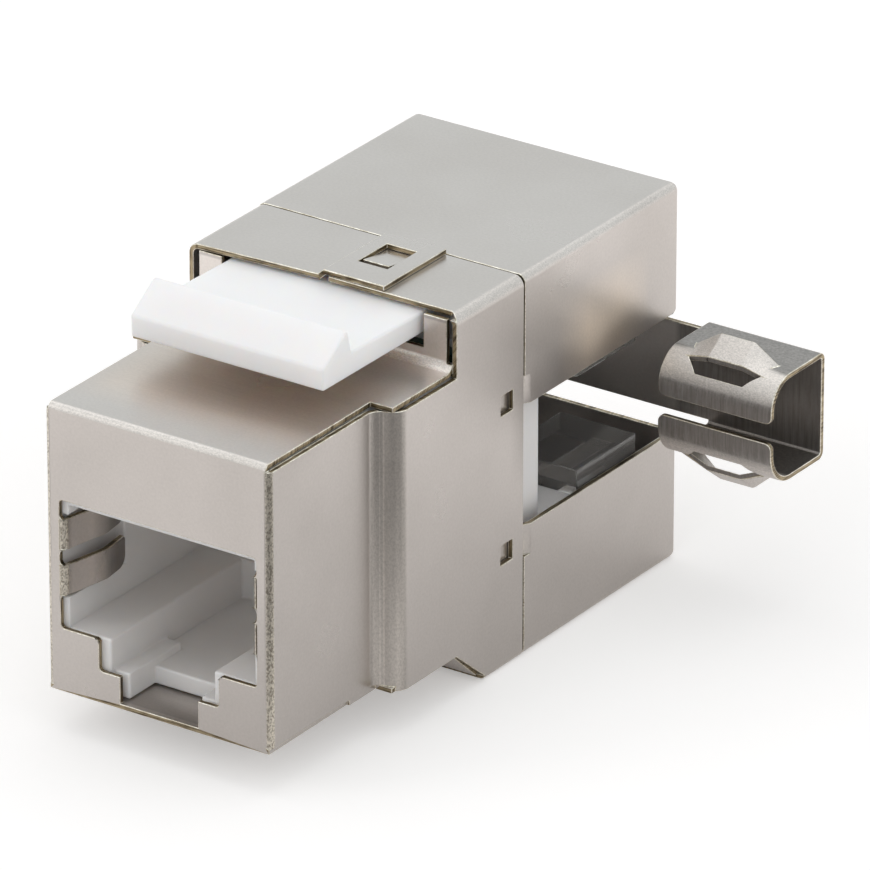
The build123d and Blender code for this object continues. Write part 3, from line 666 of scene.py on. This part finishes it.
insert_plastic = moulded("insert_plastic", insert_colour, insert_shade, roughness=0.36, depth=1.2 * mm)
insert = eased_copy("socket_moulding", "socket_insert", insert_edge, (insert_plastic,), steps=3)
in_place_of(insert, ["socket_insert"], "housing")


# Panel latch
# A white sprung tongue on a round root, moulded in one piece with the wedge-shaped
# ridge that snaps behind the panel. Its edges are well rounded.
latch_colour = (0.935, 0.92, 0.92, 1)
latch_shade = (0.915, 0.90, 0.90, 1)
latch_edge = 0.16 * mm
latch_plastic = moulded(
    "latch_plastic", latch_colour, latch_shade, roughness=0.32, depth=1.0 * mm, share=0.8
)
latch = eased_copy("latch_moulding", "panel_latch", latch_edge, (latch_plastic,), steps=4)
in_place_of(latch, ["panel_latch"], "latch")


# Terminal block
# A white moulding of the insert's plastic, fixed behind the circuit board. Its two
# ledges carry the forked contacts, one row above the other.
block_edge = 0.1 * mm
block = eased_copy("terminal_moulding", "terminal_block", block_edge, (insert_plastic,))
in_place_of(block, ["terminal_block"], "housing")


# Rear covers
# Two folded lids of the same sheet. The upper one runs on at the back as an arm that
# carries the open cable clamp with its two lanced bridges.
upper = eased_copy(
    "upper_lid_and_clamp", "upper_rear_cover", sheet_edge, plated, thickness=sheet_thickness
)
in_place_of(upper, ["upper_rear_cover"], "upper_cover")
lower = eased_copy("lower_lid", "lower_rear_cover", sheet_edge, plated, thickness=sheet_thickness)
in_place_of(lower, ["lower_rear_cover"], "lower_cover")


# Wire caps
# Two smoke-clear mouldings, one held in each cover. Their slots press the wires onto
# the forked contacts when the covers are shut.
smoke_colour = (0.86, 0.83, 0.80, 1)
cap_edge = 0.08 * mm
smoke, smoke_tree, smoke_shader = material("smoke_clear")
smoke_shader.inputs["Base Color"].default_value = smoke_colour
smoke_shader.inputs["Transmission Weight"].default_value = 0.86
smoke_shader.inputs["IOR"].default_value = 1.5
varied_gloss(smoke_tree, smoke_shader, 400, 0.04, 0.12)
for level in ("lower", "upper"):
    cap = eased_copy(f"{level}_cap_moulding", f"{level}_wire_cap", cap_edge, (smoke,))
    in_place_of(cap, [f"{level}_wire_cap"], f"{level}_cover")


# Contact wires
# Eight gold-plated spring wires in a row: soldered in the board, led forward under the
# comb, and bent back round its nose so that their tips slope down into the socket.
wire_count = 8
wire_pitch = 1.02 * mm
wire_path = [(17.1, 17.3), (3.4, 17.3), (3.4, 16.1), (10.9, 12.5)]
gold_colour = (0.86, 0.64, 0.28, 1)
gold_shade = (0.76, 0.53, 0.22, 1)


def varied_colour(tree, shader, scale, detail, first, second):
    """Sets the shader's colour, which wanders between two."""
    tree.links.new(
        blend_colour(tree, grain(tree, scale, detail), first, second), shader.inputs["Base Color"]
    )


gold, gold_tree, gold_shader = material("gold_plate")
gold_shader.inputs["Metallic"].default_value = 1.0
varied_colour(gold_tree, gold_shader, 2500, 2.0, gold_colour, gold_shade)
varied_gloss(gold_tree, gold_shader, 3000, 0.18, 0.28)
bumped(gold_tree, gold_shader, 0.1, 0.01 * mm, grain(gold_tree, 12000, 2.0, (1, 0.1, 1)))

wire_sizes = {
    "Count": wire_count, "Pitch": wire_pitch, "Width": 0.4 * mm, "Thickness": 0.3 * mm,
    "Bend": 0.6 * mm, "Rounding": 0.07 * mm, "Finish": gold,
}
wire_row = bpy.data.node_groups.new("wire_row", "GeometryNodeTree")
for name, kind in (
    ("Path", "Geometry"), ("Count", "Int"), ("Pitch", "Float"), ("Width", "Float"),
    ("Thickness", "Float"), ("Bend", "Float"), ("Rounding", "Float"), ("Finish", "Material"),
):
    wire_row.interface.new_socket(name=name, in_out="INPUT", socket_type=f"NodeSocket{kind}")
wire_row.interface.new_socket(name="Wires", in_out="OUTPUT", socket_type="NodeSocketGeometry")
asked = wire_row.nodes.new("NodeGroupInput").outputs
line = add_node(wire_row, "GeometryNodeMeshToCurve", {"Mesh": asked["Path"]}).outputs[0]
bent = add_node(
    wire_row, "GeometryNodeFilletCurve",
    {"Curve": line, "Radius": asked["Bend"], "Count": 10, "Limit Radius": True}, mode="POLY",
).outputs[0]
section = add_node(
    wire_row, "GeometryNodeCurvePrimitiveQuadrilateral",
    {"Width": asked["Width"], "Height": asked["Thickness"]},
).outputs[0]
section = add_node(
    wire_row, "GeometryNodeFilletCurve",
    {"Curve": section, "Radius": asked["Rounding"], "Count": 3, "Limit Radius": True}, mode="POLY",
).outputs[0]
wire = add_node(
    wire_row, "GeometryNodeCurveToMesh", {"Curve": bent, "Profile Curve": section, "Fill Caps": True}
).outputs[0]
step = add_node(wire_row, "ShaderNodeCombineXYZ", {"X": asked["Pitch"]}).outputs[0]
places = add_node(
    wire_row, "GeometryNodeMeshLine", {"Count": asked["Count"], "Offset": step}, mode="OFFSET"
).outputs[0]
copies = add_node(
    wire_row, "GeometryNodeInstanceOnPoints", {"Points": places, "Instance": wire}
).outputs[0]
real = add_node(wire_row, "GeometryNodeRealizeInstances", {"Geometry": copies}).outputs[0]
coated = add_node(
    wire_row, "GeometryNodeSetMaterial", {"Geometry": real, "Material": asked["Finish"]}
).outputs[0]
given = wire_row.nodes.new("NodeGroupOutput")
wire_row.links.new(coated, given.inputs["Wires"])

wire_line = bpy.data.meshes.new("contact_wires")
first_wire = -wire_pitch * (wire_count - 1) / 2
wire_line.from_pydata(
    [(first_wire, y * mm, z * mm) for y, z in wire_path], [(0, 1), (1, 2), (2, 3)], []
)
wires = bpy.data.objects.new("contact_wires", wire_line)
scene.collection.objects.link(wires)
row = wires.modifiers.new("row", "NODES")
row.node_group = wire_row
for socket in wire_row.interface.items_tree:
    if socket.name in wire_sizes:
        row[socket.identifier] = wire_sizes[socket.name]
baked(wires)
wire_nodes = [f"jack_contact_{number}" for number in range(1, wire_count + 1)]
in_place_of(wires, wire_nodes, "housing")


# Board, comb and forked contacts
# Behind the socket stands a green circuit board, with a dark comb that spaces the wires.
# Tinned bronze forks, pressed into the board, cut through the insulation of the wires.
tin_colour = (0.74, 0.72, 0.68, 1)
tin_shade = (0.62, 0.59, 0.54, 1)
mask_colour = (0.010, 0.040, 0.018, 1)
mask_shade = (0.014, 0.055, 0.026, 1)
comb_colour = (0.02, 0.02, 0.022, 1)
comb_shade = (0.03, 0.03, 0.032, 1)

tin, tin_tree, tin_shader = material("tinned_bronze")
tin_shader.inputs["Metallic"].default_value = 1.0
varied_colour(tin_tree, tin_shader, 1500, 3.0, tin_colour, tin_shade)
varied_gloss(tin_tree, tin_shader, 2500, 0.28, 0.42)

mask, mask_tree, mask_shader = material("solder_mask")
varied_colour(mask_tree, mask_shader, 600, 2.0, mask_colour, mask_shade)
mask_shader.inputs["Roughness"].default_value = 0.25
bumped(mask_tree, mask_shader, 0.15, 0.02 * mm, grain(mask_tree, 2500, 3.0))

comb, comb_tree, comb_shader = material("dark_comb")
varied_colour(comb_tree, comb_shader, 900, 2.0, comb_colour, comb_shade)
comb_shader.inputs["Roughness"].default_value = 0.45
bumped(comb_tree, comb_shader, 0.15, 0.02 * mm, grain(comb_tree, 4000, 3.0))

# The first word of a node's name says what it is: a fork of either row, the board, the comb
finish_of = {"lower": tin, "upper": tin, "circuit": mask, "contact": comb}
for node_name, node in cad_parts.items():
    if node.hide_render:
        continue
    finish = finish_of[node_name.split("_")[0]]
    node.data.materials.clear()
    node.data.materials.append(finish)
